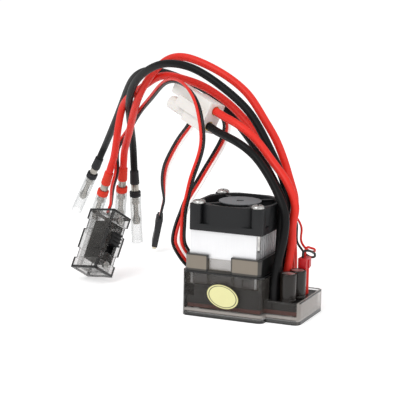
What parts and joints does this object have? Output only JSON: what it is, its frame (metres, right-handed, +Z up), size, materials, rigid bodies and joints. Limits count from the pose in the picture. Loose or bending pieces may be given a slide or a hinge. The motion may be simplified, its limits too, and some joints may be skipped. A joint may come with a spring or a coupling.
{
  "type": "electronic speed controller",
  "caption": "Motor speed controller in a clear case with finned heat sink, cooling fan, capacitors, heavy leads with bullet plugs, battery connector, receiver plug and slide switch.",
  "frame": {"origin": "centre of the underside of the case, where it is taped down", "axes": "+X from the tall tub towards the low tray where the heavy leads leave, +Y towards the back, +Z up out of the fan"},
  "size_m": [0.1645, 0.1392, 0.0951],
  "materials": {
    "case": "clear smoky plastic",
    "cover": "clear smoky plastic",
    "board": "laminate",
    "potting": "cast resin",
    "chip": "moulded",
    "thermal_pad": "soft pad",
    "heat_sink": "fine brushed",
    "fan_plastic": "moulded",
    "fan_label": "plain label",
    "steel": "plated",
    "brass": "plated",
    "magnet": "bonded magnet",
    "copper": "enamelled wire",
    "fan_board": "laminate",
    "capacitor": "shrink sleeve",
    "fan_plug": "moulded",
    "lead_red": "silicone",
    "lead_black": "silicone",
    "lead_white": "vinyl",
    "connector": "nylon",
    "boot_red": "soft boot",
    "boot_black": "soft boot",
    "terminal": "nickel plated",
    "sleeve": "clear",
    "plug_black": "moulded",
    "contact": "tinned",
    "switch_shell": "clear smoky plastic",
    "switch_black": "moulded",
    "sticker": "plain"
  },
  "bodies": {
    "controller": {"lower_case": "case", "upper_cover": "cover", "circuit_board": "board", "potting": "potting", "mosfets": "chip", "thermal_pad": "thermal_pad", "controller_chip": "chip", "heat_sink": "heat_sink", "fan_frame": "fan_plastic", "fan_label": "fan_label", "fan_bearing": "brass", "fan_stator": "copper", "fan_circuit_board": "fan_board", "fan_screws": "steel", "capacitor_front": "capacitor", "capacitor_rear": "capacitor", "fan_plug": "fan_plug", "fan_plug_leads": "lead_red", "fan_lead_red": "lead_red", "fan_lead_black": "lead_black", "battery_lead_red": "lead_red", "battery_lead_black": "lead_black", "motor_lead_red_a": "lead_red", "motor_lead_red_b": "lead_red", "motor_lead_black_a": "lead_black", "motor_lead_black_b": "lead_black", "battery_connector": "connector", "battery_sockets": "brass", "boot_red_a": "boot_red", "boot_red_b": "boot_red", "boot_black_a": "boot_black", "boot_black_b": "boot_black", "terminal_red_a": "terminal", "terminal_red_b": "terminal", "terminal_black_a": "terminal", "terminal_black_b": "terminal", "sleeve_red_a": "sleeve", "sleeve_red_b": "sleeve", "sleeve_black_a": "sleeve", "sleeve_black_b": "sleeve", "switch_lead_red": "lead_red", "switch_lead_black": "lead_black", "receiver_lead_black": "lead_black", "receiver_lead_red": "lead_red", "receiver_lead_white": "lead_white", "receiver_plug": "plug_black", "receiver_contacts": "contact", "switch_front_shell": "switch_shell", "switch_rear_shell": "switch_shell", "switch_body": "switch_black", "switch_tags": "contact", "switch_screws": "steel", "sticker": "sticker"},
    "fan_rotor_group": {"fan_rotor": "fan_plastic", "fan_shaft": "steel", "fan_magnet_ring": "magnet"},
    "switch_knob": {"switch_slider": "switch_black"}
  },
  "joints": [
    {"name": "fan_spin", "type": "hinge", "parent": "controller", "child": "fan_rotor_group", "pos_m": [-0.0061, -0.0017, 0.0385], "axis": [0, 0, 1], "continuous": true},
    {"name": "switch_slide", "type": "slide", "parent": "controller", "child": "switch_knob", "axis": [0.0614, 0.5451, 0.8361], "range_m": [-0.0034, 0]}
  ]
}
